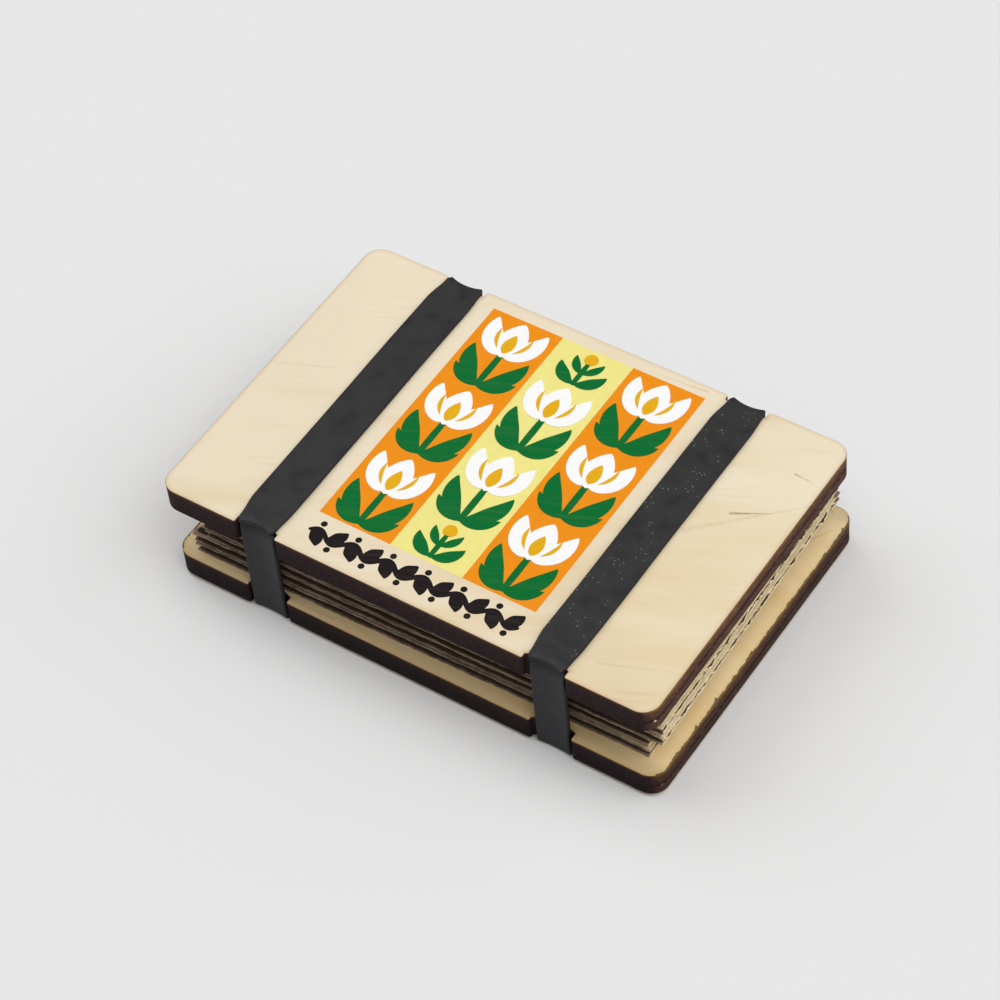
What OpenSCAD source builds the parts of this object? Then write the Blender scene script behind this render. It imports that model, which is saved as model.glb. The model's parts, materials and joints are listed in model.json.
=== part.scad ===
// Pocket flower press: two notched plywood boards squeeze a stack of corrugated
// cards and blotting papers, and two wide rubber bands hold the whole together.
// Millimetres. X runs along the long edges and Y across them. Z = 0 is the plane
// on which the bands' undersides rest, midway between the two bands.

/* [Boards] */
// Length of each pressing board
board_len = 120; // [90:1:200]
// Width of each pressing board
board_wid = 80; // [60:1:150]
// Thickness of the plywood
board_thk = 6; // [3:0.5:10]
// Radius of the four corners of a board
corner_r = 4; // [1:0.5:8]

/* [Band notches] */
// Distance from a short edge to the middle of a notch
notch_inset = 24.5; // [14:0.5:30]
// Width of a notch between its flanks
notch_span = 11; // [8:0.1:14]
// Radius that eases each shoulder of a notch
shoulder_r = 1; // [0.6:0.1:1.2]
// Length of the straight flank below each shoulder
notch_flank = 0.2; // [0.1:0.05:0.4]
// How much deeper the hollow floor of a notch is in its middle than at its ends
floor_hollow = 1.4; // [0.8:0.1:1.6]

/* [Rubber bands] */
// Width of a band where it lies flat on a board
band_wid = 10.2; // [7:0.1:13]
// Thickness of the rubber
band_thk = 1; // [0.6:0.1:1.6]
// Length over which a band draws in before each notch
band_taper = 6.5; // [3:0.5:12]
// Gap between a band's edges and the flanks of a notch that it stands in the middle of
band_side_gap = 0.7; // [0.6:0.1:1.2]
// Least gap between a band and the floor of its notch
band_wall_gap = 0.1; // [0.1:0.05:0.4]

/* [Corrugated cards] */
// Thickness of one card over both liners
card_thk = 2.6; // [2:0.1:4]
// Thickness of each flat liner
liner_thk = 0.3; // [0.2:0.05:0.5]
// Thickness of the fluted sheet between the liners
medium_thk = 0.28; // [0.2:0.02:0.4]
// Distance from one flute to the next
flute_pitch = 6.3; // [4:0.1:9]
// How far a card stops short of each short edge of the boards
card_end_margin = 4.3; // [4:0.1:10]
// How far a card stops short of each long edge of the boards
card_side_margin = 3.5; // [3.4:0.1:8]

/* [Blotting papers] */
// Thickness of one blotting paper
paper_thk = 0.2; // [0.1:0.05:0.5]
// How far a paper stops short of the edges of the cards
paper_margin = 0.6; // [0:0.1:4]

/* [How the stack lies] */
// How far the lower board has slipped along the upper one
board_slip = 0.8; // [0:0.1:1]
// Slip of the two lower cards along the bands' middle
lower_slip = -0.6; // [-2:0.1:2]
// Slip of the three upper cards along the bands' middle
upper_slip = 2.7; // [0:0.1:4]
// Turn of the stack between the boards, in degrees
stack_turn = 1.1; // [0:0.1:1.2]
// Most that a sheet slips on its own
sheet_slip = 0.25; // [0:0.05:0.3]

/* [Hidden] */
$fn = 96;

// Cards and papers: two papers lie between neighbouring cards
card_count = 5;
lower_card_count = 2;
papers_per_gap = 2;

// How far a cut runs past what it cuts
overrun = 1;

// The floor of a notch is part of a circle whose middle lies outside the board
notch_x = board_len / 2 - notch_inset;
notch_depth = shoulder_r + notch_flank + floor_hollow;
notch_r = notch_span * notch_span / (8 * floor_hollow) + floor_hollow / 2;
notch_out = notch_r - notch_depth;

// A band stands in its notches as part of a ring, midway between the slipped boards, so it
// keeps clear of both by the share of the slip that the ends of a curved floor feel
end_lean_share = notch_span / 2 / notch_r;
fold_axis_r = notch_r - board_slip / 2 * end_lean_share;

// It folds over the boards' faces. The fold swells a little past the sides of the flat run,
// whose drawn-in sides run on past the fold before the fold's circle trims them.
run_outer_r = fold_axis_r - band_wall_gap;
run_inner_r = run_outer_r - band_thk;
fold_outer_r = band_wall_gap + band_thk;
run_half_angle = asin((notch_span / 2 - band_side_gap) / run_outer_r);
ring_y = board_wid / 2 + notch_out;
fold_swell_angle = 0.5;
fold_end_x = fold_axis_r * sin(run_half_angle - fold_swell_angle);
fold_end_y = ring_y - fold_axis_r * cos(run_half_angle - fold_swell_angle);
taper_start_y = board_wid / 2 - notch_depth - band_taper;
past_share = 0.2;

// Heights, from the underside of the bands upwards
level_pitch = card_thk + papers_per_gap * paper_thk;
stack_thk = card_count * card_thk + (card_count - 1) * papers_per_gap * paper_thk;
bottom_board_z = band_thk;
stack_z = bottom_board_z + board_thk;
top_board_z = stack_z + stack_thk;
band_top_z = top_board_z + board_thk + band_thk;

// The sheets
card_len = board_len - 2 * card_end_margin;
card_wid = board_wid - 2 * card_side_margin;
paper_len = card_len - 2 * paper_margin;
paper_wid = card_wid - 2 * paper_margin;

// The flutes bite into the liners by a small part of the liners' thickness
bite_share = 0.2;
wave_amplitude = (card_thk - medium_thk) / 2 - liner_thk * (1 - bite_share);
facets_per_flute = 10;
wave_step_count = ceil(card_wid * facets_per_flute / flute_pitch);

// Angles that scatter the sheets' slips and the flutes' starts, one step per sheet
slip_step_angle = 137;
phase_step_angle = 104;

ply_color = [0.87, 0.77, 0.58];
rubber_color = [0.16, 0.16, 0.17];
card_color = [0.66, 0.58, 0.48];
paper_color = [0.90, 0.87, 0.80];

// One notch, cut into an edge that lies along y = 0, with the board below it
module notch_outline() {
    intersection() {
        translate([0, notch_out]) circle(r = notch_r);
        translate([-notch_span / 2, -notch_depth - overrun])
            square([notch_span, notch_depth + 2 * overrun]);
    }
    difference() {
        translate([-notch_span / 2 - shoulder_r, -shoulder_r])
            square([notch_span + 2 * shoulder_r, shoulder_r + overrun]);
        for (side = [-1, 1]) {
            translate([side * (notch_span / 2 + shoulder_r), -shoulder_r]) circle(r = shoulder_r);
        }
    }
}

// A rectangle about the origin with round corners
module rounded_rectangle(size_x, size_y, radius) {
    square([size_x - 2 * radius, size_y], center = true);
    square([size_x, size_y - 2 * radius], center = true);
    for (sx = [-1, 1], sy = [-1, 1]) {
        translate([sx * (size_x / 2 - radius), sy * (size_y / 2 - radius)]) circle(r = radius);
    }
}

// A pressing board: two notches in each long edge, the same in both boards
module board(x, z) {
    translate([x, 0, z]) linear_extrude(height = board_thk) difference() {
        rounded_rectangle(board_len, board_wid, corner_r);
        for (side = [-1, 1], edge = [0, 1]) {
            mirror([0, edge]) translate([side * notch_x, board_wid / 2]) notch_outline();
        }
    }
}

module bottom_board() {
    color(ply_color) board(board_slip / 2, bottom_board_z);
}

module top_board() {
    color(ply_color) board(-board_slip / 2, top_board_z);
}

// A quarter ring about the origin, up and to the left
module fold_section() {
    intersection() {
        difference() {
            circle(r = fold_outer_r);
            circle(r = band_wall_gap);
        }
        translate([-fold_outer_r, 0]) square(fold_outer_r);
    }
}

// Section of a band at a notch: the upright run between its two folds
module upright_section() {
    translate([run_inner_r, fold_outer_r]) square([band_thk, band_top_z - 2 * fold_outer_r]);
    translate([fold_axis_r, band_top_z - fold_outer_r]) fold_section();
    translate([fold_axis_r, fold_outer_r]) mirror([0, 1]) fold_section();
}

// Outline of a band's flat run, which draws in towards the notch at each end
module flat_run_outline() {
    past_x = fold_end_x + (fold_end_x - band_wid / 2) * past_share;
    past_y = fold_end_y + (fold_end_y - taper_start_y) * past_share;
    half = [
        [band_wid / 2, taper_start_y], [past_x, past_y], [0, ring_y],
        [-past_x, past_y], [-band_wid / 2, taper_start_y]
    ];
    difference() {
        polygon(concat(half, [for (p = half) -p]));
        for (side = [-1, 1]) {
            translate([0, side * ring_y]) circle(r = fold_axis_r);
        }
    }
}

// An upright run with its folds: the part of a ring about the origin that faces +Y
module upright_run() {
    wedge_x = notch_r * tan(run_half_angle);
    intersection() {
        rotate_extrude() upright_section();
        translate([0, 0, -overrun]) linear_extrude(height = band_top_z + 2 * overrun)
            polygon([[0, 0], [wedge_x, notch_r], [-wedge_x, notch_r]]);
    }
}

// A whole band: flat runs above and below, upright runs in the front and back notches
module band(x) {
    color(rubber_color) translate([x, 0, 0]) {
        linear_extrude(height = band_thk) flat_run_outline();
        translate([0, 0, band_top_z - band_thk]) linear_extrude(height = band_thk) flat_run_outline();
        for (back = [0, 1]) {
            mirror([0, back, 0]) translate([0, -ring_y, 0]) upright_run();
        }
    }
}

module band_left() {
    band(-notch_x);
}

module band_right() {
    band(notch_x);
}

// Middle line of the fluted sheet, and its slope, at a distance across the card
function wave_height(y, phase) = wave_amplitude * cos(360 * y / flute_pitch + phase);
function wave_slope(y, phase) =
    -wave_amplitude * 2 * PI / flute_pitch * sin(360 * y / flute_pitch + phase);

// One face of the fluted sheet: half its thickness to the given side of the middle line
function wave_face(side, phase) = [
    for (i = [0 : wave_step_count])
        let (
            y = card_wid * (i / wave_step_count - 1 / 2),
            slope = wave_slope(y, phase),
            reach = side * medium_thk / 2 / norm([slope, 1]),
            inside = (i == 0 || i == wave_step_count) ? 0 : 1
        )
        [y - inside * slope * reach, wave_height(y, phase) + reach]
];

function reversed(list) = [for (i = [len(list) - 1 : -1 : 0]) list[i]];

// Cross-section of the fluted sheet
module medium_section(phase) {
    polygon(concat(wave_face(1, phase), reversed(wave_face(-1, phase))));
}

// A corrugated card about the origin: two liners with the flutes glued between them
module corrugated_card(phase) {
    for (side = [-1, 1]) {
        translate([0, 0, side * (card_thk - liner_thk) / 2])
            cube([card_len, card_wid, liner_thk], center = true);
    }
    rotate([90, 0, 90]) linear_extrude(height = card_len, center = true) medium_section(phase);
}

// Where a card and the papers against it lie: slip along the boards, slip across, turn
function card_slip(index) = (index <= lower_card_count) ? lower_slip : upper_slip;
function own_slip(number) = sheet_slip * sin(slip_step_angle * number);
function own_turn(number) = own_slip(number) / card_len * 180 / PI;

module lay_sheet(index, number, z) {
    translate([card_slip(index) + own_slip(number), own_slip(number + 1) / 2, z])
        rotate([0, 0, stack_turn - own_turn(number)]) children();
}

// Card number index, counted from the bottom; the flutes run along X
module card(index) {
    color(card_color) lay_sheet(index, index, stack_z + (index - 1) * level_pitch + card_thk / 2)
        corrugated_card(phase_step_angle * index);
}

// Paper number index, counted from the bottom: odd ones lie on a card, even ones under the next
module paper(index) {
    gap_index = ceil(index / papers_per_gap);
    place_in_gap = index - (gap_index - 1) * papers_per_gap;
    card_index = gap_index + place_in_gap - 1;
    z = stack_z + (gap_index - 1) * level_pitch + card_thk + (place_in_gap - 1) * paper_thk;
    color(paper_color) lay_sheet(card_index, card_count + index, z)
        linear_extrude(height = paper_thk) square([paper_len, paper_wid], center = true);
}

bottom_board();
top_board();
band_left();
band_right();
card(1);  // card_1
card(2);  // card_2
card(3);  // card_3
card(4);  // card_4
card(5);  // card_5
paper(1);  // paper_1
paper(2);  // paper_2
paper(3);  // paper_3
paper(4);  // paper_4
paper(5);  // paper_5
paper(6);  // paper_6
paper(7);  // paper_7
paper(8);  // paper_8
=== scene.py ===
# %% [markdown]
# A pocket flower press. Two plywood boards squeeze a stack of corrugated cards and
# blotting papers, and two wide rubber bands hold it shut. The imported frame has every
# rigid piece at its real place. This script gives each one its finish, and it makes
# again the pieces whose edges need more life than exact solids have: burnt and
# rounded boards, ragged card edges and supple bands.

# %% Load the frame
import json
import math

import bpy
import numpy as np
from mathutils import Matrix, Vector


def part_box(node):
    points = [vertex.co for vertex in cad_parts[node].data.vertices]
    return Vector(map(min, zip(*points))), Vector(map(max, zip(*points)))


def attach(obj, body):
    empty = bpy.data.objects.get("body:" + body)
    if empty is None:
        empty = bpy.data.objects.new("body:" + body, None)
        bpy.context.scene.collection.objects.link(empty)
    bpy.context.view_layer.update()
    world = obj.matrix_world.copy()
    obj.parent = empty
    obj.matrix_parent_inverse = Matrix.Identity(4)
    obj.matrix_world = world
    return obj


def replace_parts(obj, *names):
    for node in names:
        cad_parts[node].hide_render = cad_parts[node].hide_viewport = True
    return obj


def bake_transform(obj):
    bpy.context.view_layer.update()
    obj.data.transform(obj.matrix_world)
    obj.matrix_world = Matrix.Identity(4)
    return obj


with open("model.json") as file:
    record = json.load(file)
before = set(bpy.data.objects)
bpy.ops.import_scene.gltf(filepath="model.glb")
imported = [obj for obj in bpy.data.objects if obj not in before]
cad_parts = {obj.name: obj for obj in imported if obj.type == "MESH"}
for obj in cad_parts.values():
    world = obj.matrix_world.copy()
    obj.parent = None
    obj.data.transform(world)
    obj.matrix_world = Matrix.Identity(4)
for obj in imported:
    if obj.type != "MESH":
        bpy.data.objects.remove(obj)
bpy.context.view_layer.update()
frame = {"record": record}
MM = 0.001

# %% [markdown]
# The photograph was taken with a long lens from above the front right corner, with
# the camera leaning a little to its right. A lens of 124 mm on a 36 mm wide sensor,
# 0.71 m away, gives the same slight convergence of the long edges.

# %% Camera
CAMERA_PLACE_MM = (285.9, -371.3, 566.2)
CAMERA_AZIMUTH = 37.83
CAMERA_ELEVATION = 49.50
CAMERA_ROLL = -6.154
CAMERA_LENS = 124.4
SENSOR_WIDTH = 36.0


def compass(azimuth, elevation):
    """The direction at an azimuth, which is 0 at the front and 90 at the right, and an elevation."""
    a, e = math.radians(azimuth), math.radians(elevation)
    return Vector((math.sin(a) * math.cos(e), -math.cos(a) * math.cos(e), math.sin(e)))


def look(azimuth, elevation, roll):
    """Turns a camera to look from an azimuth and elevation, then rolls it."""
    forward = -compass(azimuth, elevation)
    r = math.radians(roll)
    level_right = forward.cross(Vector((0, 0, 1))).normalized()
    level_up = level_right.cross(forward)
    right = math.cos(r) * level_right + math.sin(r) * level_up
    up = right.cross(forward)
    return Matrix((right, up, -forward)).transposed()


def add_object(name, data):
    """Adds a camera, lamp or mesh to the scene as an object."""
    made = bpy.data.objects.new(name, data)
    bpy.context.scene.collection.objects.link(made)
    return made


camera_data = bpy.data.cameras.new("camera")
camera_data.lens = CAMERA_LENS
camera_data.sensor_width = SENSOR_WIDTH
camera_data.sensor_fit = "HORIZONTAL"
camera_data.clip_start = 0.01
camera = add_object("camera", camera_data)
camera.matrix_world = Matrix.Translation(Vector(CAMERA_PLACE_MM) * MM) @ look(
    CAMERA_AZIMUTH, CAMERA_ELEVATION, CAMERA_ROLL).to_4x4()
bpy.context.scene.camera = camera
print("camera at", [round(v, 3) for v in camera.location], "m")

# %% [markdown]
# A node tree reads best when each line says what it adds. An output that is wrapped as
# a wire can be added and multiplied like a number, and each such sign makes one Math
# node. The other helpers add a node, a noise, a ramp or a mix, and turn a screen colour
# into the linear light that shaders work in.

# %% Shader helpers


class Wire:
    """A node's output as a number to calculate with. Each sign, and each step, adds one Math node."""

    def __init__(self, socket):
        self.socket = socket
        self.tree = socket.id_data

    def step(self, operation, *others):
        return put(self.tree, "Math", dict(enumerate((self, *others))), operation=operation)

    def __add__(self, other):
        return self.step("ADD", other)

    def __sub__(self, other):
        return self.step("SUBTRACT", other)

    def __rsub__(self, other):
        return put(self.tree, "Math", {0: other, 1: self}, operation="SUBTRACT")

    def __mul__(self, other):
        return self.step("MULTIPLY", other)

    def __truediv__(self, other):
        return self.step("DIVIDE", other)

    def __abs__(self):
        return self.step("ABSOLUTE")


def feed(node, inputs):
    """Links each wire to its socket of a node, and sets any other value on it."""
    for key, value in inputs.items():
        if isinstance(value, Wire):
            node.id_data.links.new(value.socket, node.inputs[key])
        else:
            node.inputs[key].default_value = value


def add_node(tree, kind, inputs, **settings):
    """Adds one node with its settings and inputs, and gives all its outputs."""
    made = tree.nodes.new("ShaderNode" + kind)
    for key, value in settings.items():
        setattr(made, key, value)
    feed(made, inputs)
    return made.outputs


def put(tree, kind, inputs=None, output=0, **settings):
    """Adds one node and gives one of its outputs, by its name or number, as a wire."""
    return Wire(add_node(tree, kind, inputs or {}, **settings)[output])


def xyz(vector):
    """The X, Y and Z of a vector."""
    return [Wire(socket) for socket in add_node(vector.tree, "SeparateXYZ", {"Vector": vector})]


def facing(place):
    """The X, Y and Z of the direction that the surface faces."""
    return xyz(put(place.tree, "NewGeometry", output="Normal"))


def vector_step(operation, first, second, output="Vector"):
    """One step of arithmetic with vectors."""
    return put(first.tree, "VectorMath", {0: first, 1: second}, output, operation=operation)


def rotate(place, axis, angle):
    """A place turned about an axis by an angle in radians."""
    return put(place.tree, "VectorRotate", {"Vector": place, "Angle": angle}, rotation_type=axis + "_AXIS")


def stretch(place, *scale):
    """A place scaled along X, Y and Z. A scale below 1 draws a pattern out."""
    return put(place.tree, "Mapping", {"Vector": place, "Scale": scale})


def noise(place, scale, detail, **more):
    """The value of a noise texture."""
    return put(place.tree, "TexNoise", {"Vector": place, "Scale": scale, "Detail": detail, **more})


def ramp(value, low, high, to_low=0.0, to_high=1.0):
    """Eases a value from to_low to to_high as it goes from low to high."""
    inputs = {"Value": value, "From Min": low, "From Max": high, "To Min": to_low, "To Max": to_high}
    return put(value.tree, "MapRange", inputs, interpolation_type="SMOOTHSTEP")


def mix(share, first, second, how="MIX"):
    """Mixes two colours by a share from 0 to 1."""
    tree = next(value.tree for value in (share, first, second) if isinstance(value, Wire))
    return put(tree, "Mix", {0: share, 6: first, 7: second}, 2, data_type="RGBA", blend_type=how)


def screen(red, green, blue):
    """A screen colour from 0 to 255 as linear light."""
    shares = np.array([red, green, blue]) / 255
    linear = np.where(shares > 0.04045, ((shares + 0.055) / 1.055) ** 2.4, shares / 12.92)
    return (*linear.tolist(), 1.0)


def group(name, inputs, outputs):
    """Starts a node group from the names and kinds of its sockets, to which it adds a Place. Gives its
    tree, what it is given, as wires, and the node for its results."""
    tree = bpy.data.node_groups.new(name, "ShaderNodeTree")
    inputs = {"Place": "Vector", **inputs}
    for in_out, sockets in (("INPUT", inputs), ("OUTPUT", outputs)):
        for label, kind in sockets.items():
            tree.interface.new_socket(label, in_out=in_out, socket_type="NodeSocket" + kind)
    given = tree.nodes.new("NodeGroupInput").outputs
    return tree, [Wire(given[label]) for label in inputs], tree.nodes.new("NodeGroupOutput")


def use(node_group, place, **inputs):
    """Adds a node group and gives its outputs as wires."""
    outputs = add_node(place.tree, "Group", {"Place": place, **inputs}, node_tree=node_group)
    return [Wire(socket) for socket in outputs]


def material(name):
    """A new material, its Principled shader and its Object coordinates."""
    made = bpy.data.materials.new(name)
    made.use_nodes = True
    place = put(made.node_tree, "TexCoord", output="Object")
    return made, made.node_tree.nodes["Principled BSDF"], place


def dress(shader, color, height, roughness, specular, relief_mm, strength):
    """Gives a shader its colour, and a height that bends its normal, with their numbers."""
    relief = {"Height": height, "Distance": relief_mm * MM, "Strength": strength}
    feed(shader, {
        "Base Color": color, "Roughness": roughness, "Specular IOR Level": specular,
        "Normal": put(height.tree, "Bump", relief)})


# %% [markdown]
# Every new piece is a set of rings of points that numpy works out at once, with a face
# between each four neighbours. A plate, such as a board or a sheet, is its outline
# carried through a profile: each ring is the outline moved in by the profile's inset
# and set at its height. The first and the last ring are closed with one flat face.

# %% Mesh helpers


def box_mm(node):
    """A CAD node's lowest and highest corners in millimetres."""
    return [np.array(corner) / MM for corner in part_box(node)]


def ring_quads(rings, around, wrap=False):
    """Four-sided faces between neighbouring rings that close on themselves. Wrap joins the last ring
    to the first."""
    rows = np.arange(rings if wrap else rings - 1)[:, None]
    here = np.arange(around)[None, :]
    after = (here + 1) % around
    above = (rows + 1) % rings
    corners = [rows * around + here, rows * around + after, above * around + after, above * around + here]
    return np.stack(corners, -1).reshape(-1, 4)


def make_mesh(name, points_mm, quads, caps=()):
    """A mesh from an array of points in millimetres, an array of quads and a few large flat faces."""
    mesh = bpy.data.meshes.new(name)
    mesh.from_pydata((points_mm.reshape(-1, 3) * MM).tolist(), [], [*quads.tolist(), *caps])
    mesh.update()
    return mesh


def joined_mesh(name, parts):
    """One mesh from stacks of rings, each closed with one flat face at both ends."""
    points, quads, caps, start = [], [], [], 0
    for rings in parts:
        count, around = rings.shape[:2]
        points.append(rings.reshape(-1, 3))
        quads.append(ring_quads(count, around) + start)
        caps.append((start + np.arange(around)[::-1]).tolist())
        caps.append((start + (count - 1) * around + np.arange(around)).tolist())
        start += count * around
    return make_mesh(name, np.concatenate(points), np.concatenate(quads), caps)


def number_points(mesh, name, values):
    """Gives each point of a mesh a number, which a material reads as an attribute."""
    mesh.attributes.new(name, "FLOAT", "POINT").data.foreach_set("value", values)


def make_piece(mesh, finish, body, sharp_degrees=40.0):
    """Makes a mesh a piece of the scene, smooth but for its sharp edges, that rides on a body if one is
    given.
    """
    mesh.materials.append(finish)
    mesh.shade_smooth()
    mesh.set_sharp_from_angle(angle=math.radians(sharp_degrees))
    piece = add_object(mesh.name, mesh)
    if body is not None:
        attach(piece, body)
    return piece


def plate_rings(outline, normals, profile):
    """Ring k is the outline moved in by profile[k][0] and set at height profile[k][1]."""
    inset, height = np.asarray(profile, float).T
    rings = np.empty((len(inset), len(outline), 3))
    rings[..., :2] = outline - normals * inset[:, None, None]
    rings[..., 2] = height[:, None]
    return rings


def way_round(loop):
    """How far each point of a closed loop is along it, and its length. Of a loop of sections, this is
    the mean of their points."""
    steps = np.linalg.norm(np.roll(loop, -1, 0) - loop, axis=-1).reshape(len(loop), -1).mean(1)
    return np.concatenate([[0], np.cumsum(steps)[:-1]]), steps.sum()


def wander(along, period, seed, finest=1.0, waves=9):
    """Smooth chance variation, mostly within 1 of zero: a sum of sines that close after one period.
    Each has a whole number of turns, chosen by chance up to the period over the finest length."""
    chance = np.random.default_rng(seed)
    turns = chance.integers(2, max(3, int(period / finest)), waves)
    phase = chance.uniform(0, 2 * np.pi, waves)
    return np.sin(2 * np.pi * along[..., None] * turns / period + phase).sum(-1) / math.sqrt(waves)


# %% [markdown]
# The boards are cut by laser. Their outline is straight edges, round corners and two
# notches in each long edge, each with eased shoulders, short flanks and a hollow floor.
# Walking counter-clockwise, a turn to the left is a round that bulges, and the floor of
# a notch is a round that hollows, so one arc function gives both with their outward
# normals. The rear half of the outline is the mirrored front half. The boards have
# slipped a little along each other, so each has its own middle. The openings of the
# notches are a little narrower than in the construction, as the photograph shows them.

# %% Board outline
board_low, board_high = box_mm("top_board")
base_low, base_high = box_mm("bottom_board")
HALF_LENGTH, HALF_WIDTH = ((board_high - board_low)[:2] / 2).tolist()
TOP_MIDDLE_X = (board_low[0] + board_high[0]) / 2
BASE_MIDDLE_X = (base_low[0] + base_high[0]) / 2
BOARD_THICKNESS = board_high[2] - board_low[2]
CORNER_RADIUS = 4.0
NOTCH_X = 35.5
NOTCH_SPAN = 11.0
NOTCH_FLANK = 0.2
FLOOR_HOLLOW = 1.4
SHOULDER_RADIUS = 1.0
NOTCH_RADIUS = NOTCH_SPAN ** 2 / (8 * FLOOR_HOLLOW) + FLOOR_HOLLOW / 2
RING_Y = HALF_WIDTH + (NOTCH_RADIUS - FLOOR_HOLLOW - NOTCH_FLANK - SHOULDER_RADIUS)
OPENING_X, OPENING_SPAN, OPENING_ROUND = 35.2, 9.9, 0.6
TOP_OPENING_SHIFT, BASE_OPENING_SHIFT = -0.15, -0.75
OUTLINE_STEP = 0.35


def arc(centre, radius, start, end):
    """Points on a circle between two angles in degrees, and normals that point out of the plate."""
    count = max(4, int(abs(math.radians(end - start)) * radius / OUTLINE_STEP) + 1)
    angle = np.radians(np.linspace(start, end, count))
    ray = np.stack([np.cos(angle), np.sin(angle)], 1)
    return np.array(centre) + radius * ray, ray * np.sign(end - start)


def straight(start, end):
    """Evenly spaced points on a line, with normals to the right of the way along it."""
    start, end = np.array(start, float), np.array(end, float)
    length = np.linalg.norm(end - start)
    share = np.linspace(0, 1, max(2, int(length / OUTLINE_STEP)))[:, None]
    ahead = (end - start) / length
    normal = np.array([ahead[1], -ahead[0]])
    return start + share * (end - start), np.broadcast_to(normal, (len(share), 2))


def joined(stretches):
    """One outline from stretches that meet end to end, without doubled points."""
    points = np.concatenate([p[:-1] for p, n in stretches])
    normals = np.concatenate([n[:-1] for p, n in stretches])
    return points, normals


def notch_stretches(ring_x, opening_x):
    """Stretches round one front notch: a shoulder, a flank down to the floor's circle, the floor from
    one flank to the other, a flank and a shoulder. A flank stands where its X is on the circle."""
    left, right = opening_x - OPENING_SPAN / 2, opening_x + OPENING_SPAN / 2
    shoulder_y = OPENING_ROUND - HALF_WIDTH
    start, end = (math.acos((x - ring_x) / NOTCH_RADIUS) for x in (left, right))
    return [
        arc((left - OPENING_ROUND, shoulder_y), OPENING_ROUND, -90, 0),
        straight((left, shoulder_y), (left, NOTCH_RADIUS * math.sin(start) - RING_Y)),
        arc((ring_x, -RING_Y), NOTCH_RADIUS, math.degrees(start), math.degrees(end)),
        straight((right, NOTCH_RADIUS * math.sin(end) - RING_Y), (right, shoulder_y)),
        arc((right + OPENING_ROUND, shoulder_y), OPENING_ROUND, -180, -90),
    ]


def board_outline(shift):
    """Points and normals of a board's outline, counter-clockwise from the front left corner. The front
    half and the right edge are built, and the rear half is the front half mirrored and walked back."""
    corner_x, corner_y = HALF_LENGTH - CORNER_RADIUS, HALF_WIDTH - CORNER_RADIUS
    front = [arc((-corner_x, -corner_y), CORNER_RADIUS, 180, 270)]
    x = -corner_x
    reach = OPENING_SPAN / 2 + OPENING_ROUND
    for side in (-1, 1):
        opening_x = side * OPENING_X + shift
        front.append(straight((x, -HALF_WIDTH), (opening_x - reach, -HALF_WIDTH)))
        front += notch_stretches(side * NOTCH_X, opening_x)
        x = opening_x + reach
    front.append(straight((x, -HALF_WIDTH), (corner_x, -HALF_WIDTH)))
    front.append(arc((corner_x, -corner_y), CORNER_RADIUS, -90, 0))
    right = straight((HALF_LENGTH, -corner_y), (HALF_LENGTH, corner_y))
    rear = [(points[::-1] * [1, -1], normals[::-1] * [1, -1]) for points, normals in front[::-1]]
    left = straight((-HALF_LENGTH, corner_y), (-HALF_LENGTH, -corner_y))
    return joined([*front, right, *rear, left])


print("board outline:", len(board_outline(TOP_OPENING_SHIFT)[0]), "points")

# %% [markdown]
# The burn along a board's edge fades over the first millimetre of its faces. A shader
# can know how far a point is from the edge without any painted map: it works out the
# distance to a rectangle with round corners, and the distance to the four notches, and
# takes the smaller. The group puts out millimetres, the place along the edge, and
# whether the nearest edge is a short one.

# %% Distance to the board's edge


def edge_distance_group():
    """Smaller of the distance inside a rounded rectangle and the distance outside the notches, each of
    which is where a circle and a strip overlap. Along is X beside a long edge and Y beside a short one."""
    tree, (place, shift), result = group(
        "Distance to edge", {"Shift": "Float"}, {"Millimetres": "Float", "Along": "Float", "End": "Float"})
    place_x, place_y, _ = xyz(place)
    x, y = abs(place_x / MM), abs(place_y / MM)
    past_x, past_y = x - (HALF_LENGTH - CORNER_RADIUS), y - (HALF_WIDTH - CORNER_RADIUS)
    out_x, out_y = past_x.step("MAXIMUM", 0.0), past_y.step("MAXIMUM", 0.0)
    outside = (out_x * out_x + out_y * out_y).step("SQRT")
    outside = outside + past_x.step("MAXIMUM", past_y).step("MINIMUM", 0.0)
    inside = CORNER_RADIUS - outside
    to_x, to_y = x - NOTCH_X, y - RING_Y
    circle = (to_x * to_x + to_y * to_y).step("SQRT") - NOTCH_RADIUS
    strip = abs(abs(place_x / MM - shift) - OPENING_X) - OPENING_SPAN / 2
    notch = circle.step("MAXIMUM", strip)
    on_end = past_x.step("GREATER_THAN", past_y)
    along = put(tree, "Mix", {0: on_end, 2: place_x, 3: place_y})
    feed(result, {"Millimetres": inside.step("MINIMUM", notch), "Along": along / MM, "End": on_end})
    return tree


# %% [markdown]
# Birch is pale and nearly plain. Its veneer is peeled from the log, so its grain runs
# along the board as faint, drawn-out bands with short brown flecks. Noise that is
# stretched along the grain gives both. The grain is a group, because the inks of the
# print need it as well: their film dips into the same pores.

# %% Birch grain
GRAIN_SWAY = 0.006
GRAIN_LAYERS = ((0.16, 130.0, 2.0), (0.035, 1500.0, 3.0), (0.10, 420.0, 1.0))


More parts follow.
